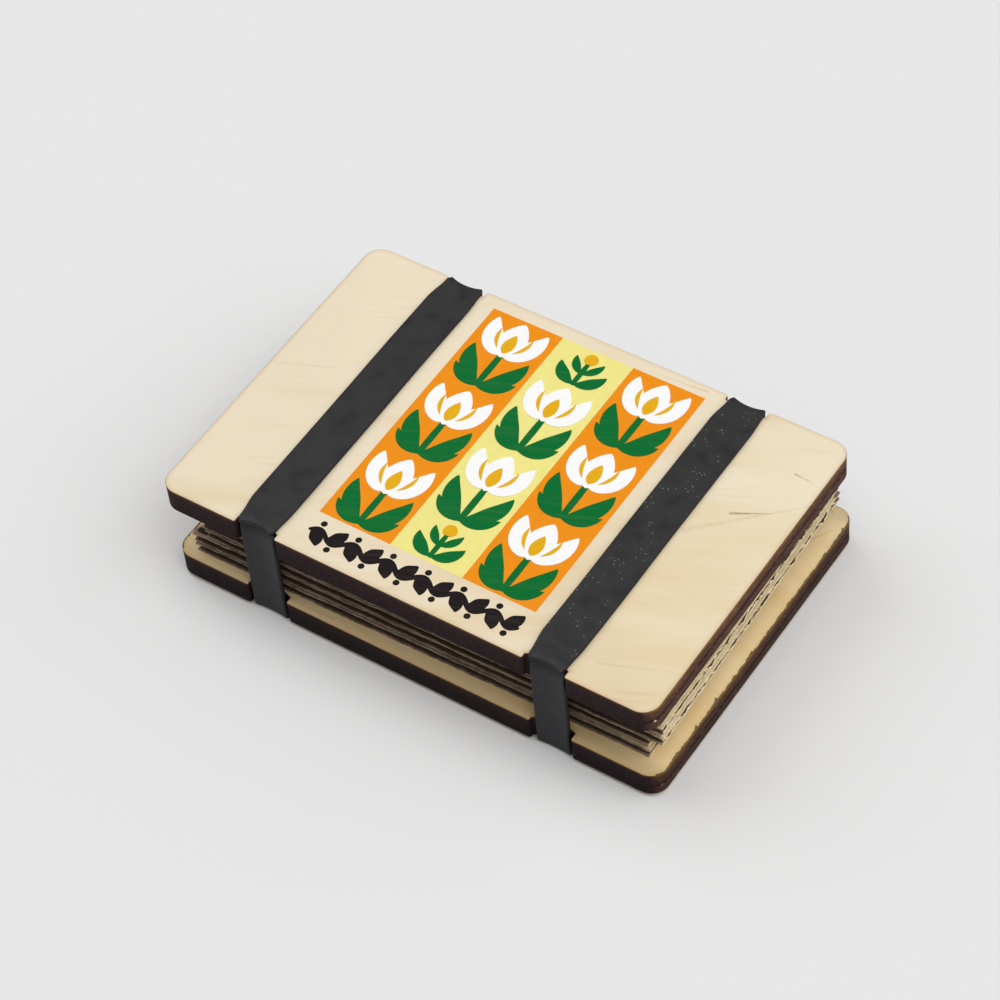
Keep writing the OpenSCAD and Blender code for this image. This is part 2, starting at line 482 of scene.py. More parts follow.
def grain_group():
    """Noise stretched along X: a broad tint, fine lines, and rare dark flecks. Each layer has its
    stretch, scale and detail."""
    tree, (place, turn), result = group(
        "Birch grain", {"Turn": "Float"}, {"Tint": "Float", "Lines": "Float", "Fleck": "Float"})
    spin = rotate(place, "Z", turn)
    sway = put(tree, "CombineXYZ", {"Y": noise(spin, 22.0, 1.0) * GRAIN_SWAY})
    swayed = vector_step("ADD", spin, sway)
    tint, lines, fleck = (
        noise(stretch(swayed, along, 1.0, 1.0), scale, detail) for along, scale, detail in GRAIN_LAYERS)
    feed(result, {"Tint": tint, "Lines": lines, "Fleck": ramp(fleck, 0.70, 0.80)})
    return tree


edge_distance = edge_distance_group()
birch_grain = grain_group()

# %% [markdown]
# The face is pale birch, warmer towards the right. The beam charred the cut wall. Where
# it ran along the grain, at the long edges, the wall is nearly black, with a little
# amber just under the face. Across the grain it is brown, with a black glue line. On
# the lower board the beam flared every few millimetres and bit small teeth into the
# face along the short edges, each steep on one side and fading on the other.

# %% Plywood
FACE_COLOR = screen(238, 224, 197)
FACE_WARM_COLOR = screen(231, 211, 174)
FLECK_COLOR = screen(158, 116, 70)
AMBER_COLOR = screen(190, 132, 66)
# Brown of the singe at the face's edge; also the colour of the painted shade near the lower board's long
# edges.
SINGE_AND_SHADE_COLOR = screen(96, 74, 46)
CHAR_COLOR = screen(36, 26, 25)
SCRATCH_COLOR = screen(150, 122, 100)
UNCHANGED = (1.0, 1.0, 1.0, 1.0)
WARMER_TO_RIGHT, WARMER_TO_FRONT = 2.6, 2.8
TOP_GRAIN_TURN, BASE_GRAIN_TURN = -24.0, 8.0
TOOTH_PITCH, TOOTH_LENGTH, TOOTH_DRIFT = 7.4, 0.9, 4.0
UNEVEN_WALL = 0.10
SCRATCH_SLANT = 0.5
# Place of a painted highlight on the wall, in millimetres from the board's middle and underside.
PAINTED_GLINT_PLACE = (59.6, -37.8, 2.4)
LONG_WALL_COLORS = (
    (0.00, 36, 26, 29), (0.45, 48, 30, 33), (0.80, 54, 34, 36), (0.91, 66, 45, 38), (0.96, 94, 66, 42),
    (1.00, 122, 86, 50))
END_WALL_COLORS = (
    (0.00, 86, 57, 46), (0.34, 94, 61, 48), (0.42, 38, 23, 23), (0.50, 48, 30, 28), (0.58, 98, 63, 45),
    (0.82, 102, 67, 44), (0.92, 132, 90, 52), (1.00, 166, 116, 60))


def color_ramp(value, stops):
    """A colour ramp through stops, each a place from 0 to 1 and a screen colour."""
    color = put(value.tree, "ValToRGB", {"Fac": value})
    elements = color.socket.node.color_ramp.elements
    while len(elements) < len(stops):
        elements.new(0.5)
    for element, (where, *rgb) in zip(elements, stops):
        element.position, element.color = where, screen(*rgb)
    return color


def streak_mask(place, start_mm, end_mm, width_mm):
    """Share of a short dark mineral streak: how near a point is to a line between two ends, over a
    width that shrinks from the start to the end."""
    start, end = (Vector((*xy, 0)) * MM for xy in (start_mm, end_mm))
    way = end - start
    offset = vector_step("SUBTRACT", vector_step("MULTIPLY", place, (1.0, 1.0, 0.0)), start)
    along = vector_step("DOT_PRODUCT", offset, way / way.length_squared, "Value")
    along = put(place.tree, "Clamp", {"Value": along})
    foot = put(place.tree, "VectorMath", {0: way, "Scale": along}, operation="SCALE")
    gap = vector_step("DISTANCE", offset, foot, "Value")
    return ramp(gap / ((1.15 - along) * (width_mm * MM)), 0.0, 1.0, 1.0, 0.0)


def tooth_depth(along, sway, deepest_mm):
    """Depth of the bites: in each stretch of the edge it starts at a chance size and dies away by e to
    the power of minus the way past the start over the length of a tooth."""
    turns = (along + sway * TOOTH_DRIFT) / -TOOTH_PITCH
    chance = put(along.tree, "TexWhiteNoise", {"W": turns.step("FLOOR")}, "Value", noise_dimensions="1D")
    fade = (turns.step("FRACT") * TOOTH_PITCH / -TOOTH_LENGTH).step("EXPONENT")
    return fade * (ramp(chance, 0.0, 1.0, 0.3, 1.0) * deepest_mm)


def wall_color(place, height, facing_end, sway):
    """Charred wall: one colour ramp over its height for the long edges and one for the short edges,
    with level streaks of soot, and slanted scratches on the short edges."""
    soot = noise(stretch(place, 0.07, 0.07, 1.0), 1500.0, 3.0)
    level = height / BOARD_THICKNESS + (sway - 0.5) * UNEVEN_WALL + (soot - 0.5) * UNEVEN_WALL
    long_wall = color_ramp(level, LONG_WALL_COLORS)
    end_wall = color_ramp(level, END_WALL_COLORS)
    scratch = noise(stretch(rotate(place, "X", SCRATCH_SLANT), 1.0, 0.12, 1.0), 2200.0, 2.0)
    end_wall = mix(ramp(scratch, 0.55, 0.72, 0.0, 0.35), end_wall, SCRATCH_COLOR)
    end_wall = mix(ramp(scratch, 0.30, 0.45, 0.45, 0.0), end_wall, CHAR_COLOR)
    side = mix(facing_end, long_wall, end_wall)
    return mix(ramp(soot, 0.46, 0.64, 0.0, 0.45), side, CHAR_COLOR)


def plywood(name, middle, shift, turn_degrees, streaks, border_mm, tooth_mm, tone, wall_tone, painted_edge_shade, painted_glint):
    """Birch face and charred wall, told apart by which way the surface faces. A dark border and teeth
    run along the edge of the face. The tones multiply the face's and the wall's colours.
    painted_edge_shade is the share of painted shade laid near the long edges, and painted_glint is how
    clear one painted highlight on the wall is."""
    made, shader, object_place = material(name)
    place = vector_step("SUBTRACT", object_place, Vector((middle[0], 0.0, middle[1])) * MM)
    x, y, z = xyz(place)
    distance, along, on_end = use(edge_distance, place, Shift=shift)
    tint, lines, fleck = use(birch_grain, place, Turn=math.radians(turn_degrees))
    soot = noise(place, 900.0, 4.0)
    sway = noise(place, 60.0, 1.0)

    warmth = tint + x * WARMER_TO_RIGHT - y * WARMER_TO_FRONT
    face = mix(ramp(warmth, 0.40, 0.90), FACE_COLOR, FACE_WARM_COLOR)
    face = mix(ramp(lines, 0.52, 0.80, 0.0, 0.08), face, FLECK_COLOR)
    face = mix(fleck * 0.10, face, FLECK_COLOR)
    face = mix(1.0, face, tone, "MULTIPLY")
    from_long_edge = HALF_WIDTH * MM - abs(y)
    # Painted shade: the face darkens towards its long edges, where the stack and the upper board shade it.
    face = mix(ramp(from_long_edge, 1.0 * MM, 6.0 * MM, painted_edge_shade, 0.0), face, SINGE_AND_SHADE_COLOR)
    for start, end, width, depth in streaks:
        mark = streak_mask(place, start, end, width) * depth * ramp(soot, 0.3, 0.6, 0.4, 1.0)
        face = mix(mark, face, FLECK_COLOR)

    tooth = tooth_depth(along, sway, tooth_mm) * on_end
    border = ramp(soot, 0.3, 0.7, 0.5, 1.5) * border_mm * ramp(on_end, 0.0, 1.0, 0.15, 1.0)
    past = distance - (border + tooth)
    face = mix(ramp(distance, 0.1, 1.2, 0.20, 0.0), face, AMBER_COLOR)
    face = mix(ramp(past, 0.0, 0.16, 0.9, 0.0), face, SINGE_AND_SHADE_COLOR)

    normal_x, _, normal_z = facing(place)
    facing_end = ramp(abs(normal_x), 0.35, 0.9) * ramp(abs(x), 50.0 * MM, 55.0 * MM)
    side = mix(1.0, wall_color(place, z / MM, facing_end, sway), wall_tone, "MULTIPLY")
    # Painted highlight: one pale spot of face colour on the wall near the front right corner, clear on the
    # upper board.
    glint = vector_step("DISTANCE", place, Vector(PAINTED_GLINT_PLACE) * MM, "Value")
    side = mix(ramp(glint, 0.2 * MM, 0.4 * MM, painted_glint, 0.0), side, FACE_COLOR)
    flat = ramp(abs(normal_z), 0.15, 0.60)
    ribs = noise(stretch(place, 1.0, 1.0, 0.12), 2400.0, 2.0)
    dress(shader, mix(flat, side, face), lines * flat + ribs, ramp(soot, 0.3, 0.7, 0.60, 0.74),
          specular=0.08, relief_mm=0.05, strength=0.5)
    return made


top_streaks = (
    ((47.0, 12.4), (54.6, 16.6), 0.55, 0.75), ((53.0, 27.9), (57.6, 27.7), 0.35, 0.60),
    ((40.9, 3.9), (60.0, 22.0), 1.1, 0.16), ((44.0, -33.6), (58.0, -28.0), 0.6, 0.16),
    ((26.0, 38.6), (12.0, 37.6), 0.5, 0.25))
base_streaks = (((-20.0, -38.4), (-34.0, -39.0), 0.5, 0.3), ((50.0, 20.0), (58.0, 34.0), 0.9, 0.3))
top_plywood = plywood(
    "plywood_top", (TOP_MIDDLE_X, board_low[2]), TOP_OPENING_SHIFT, TOP_GRAIN_TURN, top_streaks,
    border_mm=0.03, tooth_mm=0.0, tone=UNCHANGED, wall_tone=UNCHANGED, painted_edge_shade=0.0, painted_glint=0.9)
# The lower board's face tone is partly its own warmer birch and partly painted light, as if more light
# reached it from the right.
base_plywood = plywood(
    "plywood_base", (BASE_MIDDLE_X, base_low[2]), BASE_OPENING_SHIFT, BASE_GRAIN_TURN, base_streaks,
    border_mm=0.26, tooth_mm=0.70, tone=(1.05, 0.97, 0.77, 1.0), wall_tone=(0.62, 0.64, 0.68, 1.0),
    painted_edge_shade=0.30, painted_glint=0.12)

# %% [markdown]
# Real boards have a worn arris and a cut wall that the beam left slightly ribbed. The
# profile has a small round at each face. The ribs are narrow, so they are moved points
# of the rings, a few hundredths of a millimetre deep.

# %% Boards
ARRIS = 0.12
WALL_RINGS = 9
RIB_DEPTH = 0.03
RIB_LENGTH, RIB_WAVES, RIB_LEAN = 0.9, 24, 1.2


def board_profile(bottom_z):
    """Inset and height of each ring: a quarter round, the upright wall and a quarter round."""
    angle = np.radians(np.linspace(0, 90, 4))
    round_in = ARRIS * (1 - np.sin(angle))
    round_up = ARRIS * (1 - np.cos(angle))
    wall = np.linspace(ARRIS, BOARD_THICKNESS - ARRIS, WALL_RINGS)[1:-1]
    inset = np.concatenate([round_in, np.zeros(len(wall)), round_in[::-1]])
    height = np.concatenate([round_up, wall, BOARD_THICKNESS - round_up[::-1]])
    return np.stack([inset, bottom_z + height], 1)


def make_board(node, middle_x, bottom_z, shift, finish, body, seed):
    """A board with a ribbed wall, which stands for its CAD node."""
    outline, normals = board_outline(shift)
    along, length = way_round(outline)
    rings = plate_rings(outline + [middle_x, 0], normals, board_profile(bottom_z))
    share = np.clip((rings[..., 2] - bottom_z) / BOARD_THICKNESS, 0, 1)
    ribs = np.abs(wander(along + RIB_LEAN * share, length, seed, RIB_LENGTH, RIB_WAVES))
    rings[..., :2] -= normals * (RIB_DEPTH * ribs * np.sin(np.pi * share))[..., None]
    piece = make_piece(joined_mesh(node + "_ply", [rings]), finish, body)
    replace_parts(piece, node)
    print(piece.name, "faces:", len(piece.data.polygons))


make_board("top_board", TOP_MIDDLE_X, board_low[2], TOP_OPENING_SHIFT, top_plywood, "lid", 11)
make_board("bottom_board", BASE_MIDDLE_X, base_low[2], BASE_OPENING_SHIFT, base_plywood, "base", 12)

# %% [markdown]
# Corrugated card and blotting paper are both felted fibre, so one group gives both
# their mottle and their fine hairs, each material with its own colours. The long
# edges, and the sheets close to them, get dark grey-brown colours, which are painted
# shade along the front and back of the stack, while the short edges were sawn and
# are pale. The surface's direction tells the shader which cut it is on.

# %% Fibre, card and paper
SHADED_EDGE_FROM, SHADED_EDGE_TO = 34.8, 36.0
CORE_AND_SHADE_SHARE = 0.94


def fibre_group():
    """Soft mottle with short dark hairs, from two noises, one of them distorted."""
    tree, (place, light, dark), result = group(
        "Fibre", {"Light": "Color", "Dark": "Color"}, {"Color": "Color", "Height": "Float"})
    mottle = noise(place, 420.0, 5.0, Roughness=0.65)
    hairs = noise(place, 2600.0, 2.0, Distortion=2.5)
    height = mottle * 0.6 + hairs * 0.4
    feed(result, {"Color": mix(ramp(height, 0.40, 0.62), light, dark), "Height": height})
    return tree


fibre = fibre_group()


def felted(name, face, side, end, relief_mm, core_and_shade=None):
    """A matt material of felted fibre. Face, side and end each give a light and a dark screen colour, for
    the flat faces, the cut along a long edge and the cut at a short edge. core_and_shade gives the dark
    colour of the flutes: partly the fluted sheet's own brown, partly painted shade inside the flutes."""
    made, shader, place = material(name)
    normal_x, normal_y, _ = facing(place)
    on_end = ramp(abs(normal_x), 0.4, 0.7)
    # Painted shade: the sheets take their dark side colours on the long edges and close to them.
    shaded_edge = ramp(abs(xyz(place)[1]), SHADED_EDGE_FROM * MM, SHADED_EDGE_TO * MM)
    on_side = ramp(abs(normal_y), 0.4, 0.7).step("MAXIMUM", shaded_edge)
    face, side, end = ([screen(*rgb) for rgb in pair] for pair in (face, side, end))
    light, dark = (mix(on_end, mix(on_side, face[k], side[k]), end[k]) for k in (0, 1))
    if core_and_shade is not None:
        # Painted shade inside the flutes, with the fluted sheet's own darker brown, mixed in by a point
        # number except on the short ends.
        tone = put(place.tree, "Attribute", output="Fac", attribute_name="core_and_shade") * (1.0 - on_end)
        tone = ramp(tone, 0.0, 1.0, 0.0, CORE_AND_SHADE_SHARE)
        light, dark = (mix(tone, color, screen(*core_and_shade)) for color in (light, dark))
    color, height = use(fibre, place, Light=light, Dark=dark)
    dress(shader, color, height, roughness=0.92, specular=0.2, relief_mm=relief_mm, strength=0.8)
    return made


# The card's dark flute colour is partly the fluted sheet's own brown and partly painted shade.
card_finish = felted(
    "corrugated_card", face=((240, 222, 184), (214, 192, 152)), side=((158, 140, 126), (108, 92, 80)),
    end=((255, 241, 204), (244, 220, 178)), relief_mm=0.05, core_and_shade=(82, 64, 49))
# The blotting paper's near-black side colours are painted shade.
paper_finish = felted(
    "blotting_paper", face=((230, 222, 206), (214, 202, 182)), side=((66, 55, 48), (44, 36, 31)),
    end=((255, 242, 206), (246, 224, 184)), relief_mm=0.03)

# %% [markdown]
# No edge of the cards and papers is quite straight. A sheet is a plate whose outline
# wavers by a tenth of a millimetre. The liners of a card also sag into the flutes near
# the cut, because nothing holds them there, and at the short edges the saw has pinched
# the flutes nearly shut and pulled fibres loose. The liners only ever sag inwards, so
# they stay clear of the paper next to them.

# %% Loose sheets
CORNER_ROUND = 0.1
RAGGED, RAGGED_REACH = 0.10, 1.5
INSETS = np.array([5.0, 2.6, 1.3, 0.5, 0.0, 0.0, 0.5, 1.3, 2.6, 5.0])
SAG_REACH, PINCH_REACH = 1.2, 2.2


def sheet_outline(length, width, step):
    """Points and normals round a rectangle with small round corners."""
    x, y, r = length / 2, width / 2, CORNER_ROUND
    corners = ((x - r, r - y, -90), (x - r, y - r, 0), (r - x, y - r, 90), (r - x, r - y, 180))
    keep = max(1, int(step / OUTLINE_STEP))
    stretches = []
    for (ax, ay, start), (bx, by, _) in zip(corners, corners[1:] + corners[:1]):
        stretches.append(arc((ax, ay), r, start, start + 90))
        out = np.array([math.cos(math.radians(start + 90)), math.sin(math.radians(start + 90))]) * r
        points, normals = straight((ax, ay) + out, (bx, by) + out)
        stretches.append((points[::keep], normals[::keep]))
    return joined(stretches)


def pinch_share(x, length):
    """How much a card is pinched: 1 at its short edges, and e to the power of minus the square of the
    way in from there over the reach."""
    return np.exp(-((length / 2 - np.abs(x)) / PINCH_REACH) ** 2)


def ragged_sheet(length, width, low_z, high_z, side_sag, end_sag, seed, step=0.7):
    """Rings of a thin sheet: its outline with a waver, and copies of the outline drawn in on both faces.
    Near its edges the sheet moves in Z by its sags, by chance."""
    points, normals = sheet_outline(length, width, step)
    along, total = way_round(points)
    slow, quick = wander(along, total, seed, 14.0), wander(along, total, seed + 1, 1.6, 30)
    waver = RAGGED * (0.6 * slow + 0.5 * quick)
    inset, height = INSETS[:, None], np.repeat([low_z, high_z], len(INSETS) // 2)[:, None]
    rings = np.empty((len(inset), len(points), 3))
    rings[..., 0] = points[:, 0] * (1 - 2 * inset / length)
    rings[..., 1] = points[:, 1] * (1 - 2 * inset / width)
    pinch = pinch_share(rings[..., 0], length)
    edge = np.exp(-(width / 2 - np.abs(rings[..., 1])) / SAG_REACH) * (1 - pinch)
    droop = np.clip(0.5 + 0.5 * wander(along, total, seed + 2, 5.0, 16), 0, 1)
    sag = side_sag * droop * edge + end_sag * (0.75 + 0.25 * droop) * pinch
    rings[..., 2] = height + sag * (inset < inset.max())
    rings[..., :2] += normals * (waver * np.exp(-inset / RAGGED_REACH))[..., None]
    return rings


def lay_sheet(name, node, size, parts, finish):
    """Turns and moves a sheet's parts onto its CAD node, whose box shows its slip and its turn, and
    makes them the one piece that stands for the node."""
    low, high = box_mm(node)
    turn = (high[0] - low[0] - size[0]) / size[1]
    axes = np.array([[math.cos(turn), math.sin(turn)], [-math.sin(turn), math.cos(turn)]])
    laid = []
    for part in parts:
        turned = part[..., 0, None] * axes[0] + part[..., 1, None] * axes[1]
        laid.append(np.concatenate([turned, part[..., 2:]], -1) + (low + high) / 2)
    mesh = joined_mesh(name, laid)
    bodies = frame["record"]["behaviour"]["bodies"]
    body = next(body for body, nodes in bodies.items() if node in nodes)
    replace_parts(make_piece(mesh, finish, body), node)
    return mesh


def thickness(node):
    """A CAD node's height in millimetres."""
    low, high = box_mm(node)
    return high[2] - low[2]


# %% [markdown]
# Between its two liners, a corrugated card has a fluted sheet that is glued to both.
# It is one closed skin: a cosine wave across the card, moved to each side along its
# normal and carried from one short edge to the other. It stops a little short of the
# long edges, by another amount on each card. The loose fibres at the short edges are
# thin tubes with three sides, all computed at once.

# %% Corrugated cards
CARD_LENGTH, CARD_WIDTH = 111.4, 73.0
LINER_THICKNESS, MEDIUM_THICKNESS = 0.3, 0.28
LOWER_LINER_RECESS = 0.15
MEDIUM_MARGINS = (1.2, 0.5, 1.0, 0.4, 0.8)
SIDE_SAG = 0.17
UPPER_PINCH, LOWER_PINCH = 0.42, 0.08
FLUTE_PITCH, FLUTE_SLIP = 6.3, 0.25
POINTS_PER_FLUTE = 14
FLUTE_INSETS = np.array([0.1, 0.6, 1.3, 2.0, 2.8, 3.8, 5.5])
FLUTE_RAGGED, MIDDLE_ROWS, MIDDLE_MARGIN = 0.15, 12, 9
PHASE_STEP = 104
FIBRES_PER_END = 48
FIBRE_ROOT, FIBRE_DRIFT, FIBRE_BOW = 0.6, 1.3, 0.5
FIBRE_RUN, FIBRE_RADIUS = (0.5, 1.15), (0.06, 0.13)
FIBRE_LEVELS, FIBRE_CLEARANCE = (-0.82, 0.42), 0.15


def flutes(height, margin, phase, seed):
    """The fluted sheet: a cosine wave across the card, thickened along its normal, as one closed skin.
    Its height falls with the pinch towards the short edges."""
    rows = int(CARD_WIDTH / FLUTE_PITCH * POINTS_PER_FLUTE)
    across = np.linspace(-1, 1, rows) * (CARD_WIDTH / 2 - margin)
    middle = np.linspace(-1, 1, MIDDLE_ROWS) * (CARD_LENGTH / 2 - MIDDLE_MARGIN)
    ends = CARD_LENGTH / 2 - FLUTE_INSETS
    along = np.concatenate([-ends, middle, ends[::-1]])[:, None]
    pinch = pinch_share(along, CARD_LENGTH)
    slip = FLUTE_SLIP * wander(across, 2 * CARD_WIDTH, seed, 8.0)
    crest = (height - MEDIUM_THICKNESS) / 2 - LINER_THICKNESS - (UPPER_PINCH + LOWER_PINCH) / 2 * pinch
    angle = 2 * np.pi * (across + slip) / FLUTE_PITCH + phase
    wave = crest * np.cos(angle) + (LOWER_PINCH - UPPER_PINCH) / 2 * pinch
    slope = -crest * 2 * np.pi / FLUTE_PITCH * np.sin(angle)
    lean = np.sqrt(1 + slope ** 2)
    loops = []
    for side in (-1, 1):
        y = across - side * MEDIUM_THICKNESS / 2 * slope / lean
        z = wave + side * MEDIUM_THICKNESS / 2 / lean
        loops.append(np.stack([y, z], -1)[:, ::side])
    section = np.concatenate(loops, 1)
    skin = np.concatenate([np.broadcast_to(along[..., None], (*section.shape[:2], 1)), section], -1)
    around = section.shape[1]
    ragged = FLUTE_RAGGED * wander(np.arange(around) * 1.0, around, seed + 3, 3.0, 20)
    skin[0, :, 0] -= ragged
    skin[-1, :, 0] += ragged
    return skin


def fibres(height, seed):
    """Loose fibres at both short edges: a line that runs outwards and bows by 4t(1 - t) of its curl, with
    three points round it at a radius that shrinks along it."""
    chance = np.random.default_rng(seed)
    count = 2 * FIBRES_PER_END
    way = np.repeat([-1.0, 1.0], FIBRES_PER_END)
    level = np.where(chance.random(count) < 0.5, *FIBRE_LEVELS) + chance.normal(0, 0.1, count)
    start_y = chance.uniform(-1, 1, count) * CARD_WIDTH / 2 * 0.98
    start = np.stack([way * (CARD_LENGTH / 2 - FIBRE_ROOT), start_y, level * height / 2], -1)
    run = np.stack([way * chance.uniform(*FIBRE_RUN, count), chance.normal(0, FIBRE_DRIFT, count),
                    chance.uniform(-0.3, 0.3, count)], -1)
    curl = chance.normal(0, FIBRE_BOW, (count, 3)) * [0.0, 1.0, 0.3]
    t = np.linspace(0, 1, 5)[None, :, None]
    middle = start[:, None] + t * run[:, None] + (t * (1 - t) * 4) * curl[:, None]
    limit = height / 2 - FIBRE_CLEARANCE
    middle[..., 2] = np.clip(middle[..., 2], -limit, limit)
    angle = np.radians([0, 120, 240])
    radius = chance.uniform(*FIBRE_RADIUS, count)[:, None, None] * (1 - 0.7 * t[..., 0])[..., None]
    rings = np.repeat(middle[:, :, None], 3, 2)
    rings[..., 1] += way[:, None, None] * radius * np.cos(angle)
    rings[..., 2] += radius * np.sin(angle)
    return list(rings)


def make_card(index):
    """A corrugated card: lower liner, flutes, upper liner and loose fibres in one piece. Its point number
    core_and_shade is 1 on the fluted sheet and on the liners' inner faces, where the material lays the
    fluted sheet's own brown and painted shade inside the flutes."""
    node = f"card_{index}"
    height = thickness(node)
    top = height / 2
    parts = [
        ragged_sheet(CARD_LENGTH - 2 * LOWER_LINER_RECESS, CARD_WIDTH, -top, LINER_THICKNESS - top,
                     SIDE_SAG, LOWER_PINCH, 100 + 10 * index),
        flutes(height, MEDIUM_MARGINS[index - 1], math.radians(PHASE_STEP * index), 200 + 10 * index),
        ragged_sheet(CARD_LENGTH, CARD_WIDTH, top - LINER_THICKNESS, top,
                     -SIDE_SAG, -UPPER_PINCH, 300 + 10 * index),
        *fibres(height, 500 + index),
    ]
    drawn_in = (INSETS > 0.0) * 1.0
    upper_face = np.arange(len(INSETS)) >= len(INSETS) // 2
    core_and_shade = [drawn_in * upper_face, np.ones(len(parts[1])), drawn_in * ~upper_face]
    core_and_shade += [np.zeros(len(part)) for part in parts[3:]]
    core_and_shade = [np.repeat(rows, part.shape[1]) for rows, part in zip(core_and_shade, parts)]
    size = (CARD_LENGTH, CARD_WIDTH)
    mesh = lay_sheet(node + "_board", node, size, parts, card_finish)
    number_points(mesh, "core_and_shade", np.concatenate(core_and_shade))
    return len(mesh.polygons)


print("card faces:", [make_card(index) for index in range(1, 6)])

# %% [markdown]
# The blotting papers are plain sheets, and a little smaller than the cards.

# %% Blotting papers
PAPER_MARGIN = 0.6
PAPER_SIZE = (CARD_LENGTH - 2 * PAPER_MARGIN, CARD_WIDTH - 2 * PAPER_MARGIN)


def make_paper(index):
    """A sheet of blotting paper, whose edge wavers but doesn't sag."""
    node = f"paper_{index}"
    top = thickness(node) / 2
    rings = ragged_sheet(*PAPER_SIZE, -top, top, 0.0, 0.0, 400 + 10 * index, 1.4)
    mesh = lay_sheet(node + "_sheet", node, PAPER_SIZE, [rings], paper_finish)
    return len(mesh.polygons)


print("paper faces:", [make_paper(index) for index in range(1, 9)])

# %% [markdown]
# A rubber band is one closed strip. Flat on the boards, it draws in towards each notch,
# folds over the curved edge and stands in the notch as part of a ring. A point of it is
# found from three shares: how far across the strip, how far through its thickness, and
# how far round the loop. That gives the whole skin from one formula. Stretched rubber
# bulges where it is bent, so the outer skin has a soft lip at the end of each upper fold
# and a groove below it. Each band sits a little to one side, and its upright run is
# narrower than the strip because it is stretched there.

# %% Band shape
band_low, band_high = box_mm("band_left")
BAND_TOP = band_high[2]
BAND_THICKNESS = base_low[2]
BAND_WIDTH = band_high[0] - band_low[0]
WALL_GAP = 0.1
SIDE_GAP = 0.7
TAPER = 6.5
FOLD_AXIS_RADIUS = NOTCH_RADIUS - (BASE_MIDDLE_X - TOP_MIDDLE_X) / 2 * NOTCH_SPAN / 2 / NOTCH_RADIUS
RUN_HALF_ANGLE = math.asin((NOTCH_SPAN / 2 - SIDE_GAP) / (FOLD_AXIS_RADIUS - WALL_GAP))
EDGE_ROUND = 0.30
LIP_HEIGHT, LIP_PLACE, LIP_REACH = 0.40, -0.40, 0.50
GROOVE_DEPTH, GROOVE_PLACE, GROOVE_RISE, GROOVE_FALL = 0.58, 0.22, 0.20, 1.5
CREASE_SHADE_PLACE, CREASE_SHADE_REACH = 0.55, 0.50
FLATTENED, FLATTENED_FROM, FLATTENED_TO = 0.5, 30.0, 37.0
SIDE_WANDER = 0.07
ROWS_ON_FLAT, ROWS_ON_FOLD = 60, 13


def band_section():
    """Shares across (-1 to 1) and through (0 inside to 1 outside) of a flat strip with round edges."""
    across = np.linspace(-1, 1, 27)
    edge = 2 * EDGE_ROUND * BAND_THICKNESS / BAND_WIDTH
    inner = np.stack([across * (1 - edge), np.zeros_like(across)], 1)
    angle = np.radians(np.linspace(-90, 90, 7))[1:-1]
    side = np.stack([1 - edge + edge * np.cos(angle), 0.5 + 0.5 * np.sin(angle)], 1)
    outer = np.stack([across[::-1] * (1 - edge), np.ones_like(across)], 1)
    back = side[::-1] * [-1, 1]
    return np.concatenate([inner, side, outer, back])


def ease(share):
    """Goes smoothly from 0 to 1 as the share does, and stays there outside."""
    share = np.clip(share, 0, 1)
    return share * share * (3 - 2 * share)


def quarter_path():
    """Stages from the middle of the flat top to the middle of the front run. Their kinds are 0 on the
    flat, 1 on the fold and 2 on the run, and each has its share of the way along its kind."""
    flat = np.linspace(0, 1, ROWS_ON_FLAT, endpoint=False) ** 0.8
    fold = np.linspace(0, 1, ROWS_ON_FOLD, endpoint=False)
    run = np.concatenate([np.linspace(0, 0.1, 12, endpoint=False), np.linspace(0.1, 1, 14)])
    kinds = np.concatenate([np.zeros(len(flat)), np.ones(len(fold)), np.full(len(run), 2)])
    return kinds, np.concatenate([flat, fold, run])


def past_fold(kind, share):
    """Way along the outer skin past the end of the fold, in millimetres, which is negative on the fold."""
    fold_length = (WALL_GAP + BAND_THICKNESS) * math.pi / 2
    run_length = BAND_TOP / 2 - BAND_THICKNESS - WALL_GAP
    return np.where(kind == 1, (share - 1) * fold_length, share * run_length)


def lip(kind, share):
    """How far the outer skin stands out, by the way past the end of the fold: a hill, then a dip that
    starts steeply and fades slowly, each a height times e to the power of minus a square."""
    past = past_fold(kind, share)
    hill = LIP_HEIGHT * np.exp(-((past - LIP_PLACE) / LIP_REACH) ** 2)
    dip = past - GROOVE_PLACE
    dip = GROOVE_DEPTH * np.exp(-(dip / np.where(dip < 0, GROOVE_RISE, GROOVE_FALL)) ** 2)
    return np.where(kind == 0, 0.0, hill - dip)


def band_points(across, through, kind, share, lip_share, width_share, run_share, flat_x, run_x):
    """Place on the top front quarter of the loop, from the shares across, through and along it.
    Flat: a line in Y from the middle to the notch's edge, its width easing from full to drawn in.
    Fold: a quarter circle about the board's edge. Run: straight down inside the notch's ring."""
    angle = across * RUN_HALF_ANGLE * run_share
    reach = WALL_GAP + through * (BAND_THICKNESS + lip_share * lip(kind, share))
    end_x = FOLD_AXIS_RADIUS * np.sin(angle)
    end_y = RING_Y - FOLD_AXIS_RADIUS * np.cos(angle)
    y = share * end_y
    drawn = ease((y - (end_y - TAPER)) / TAPER)
    x = across * width_share * BAND_WIDTH / 2 * (1 - drawn) + end_x * drawn
    x += flat_x * (1 - drawn) + run_x * drawn
    z = np.full_like(x, BAND_TOP - BAND_THICKNESS) + through * BAND_THICKNESS
    turn = share * np.pi / 2
    radius = np.where(kind == 1, FOLD_AXIS_RADIUS - reach * np.sin(turn), FOLD_AXIS_RADIUS - reach)
    fold_z = BAND_TOP - BAND_THICKNESS - WALL_GAP
    drop = np.where(kind == 1, reach * np.cos(turn), -share * (fold_z - BAND_TOP / 2))
    ring = kind > 0
    x = np.where(ring, radius * np.sin(angle) + run_x, x)
    y = np.where(ring, RING_Y - radius * np.cos(angle), y)
    z = np.where(ring, fold_z + drop, z)
    return np.stack([x, -y, z], -1)


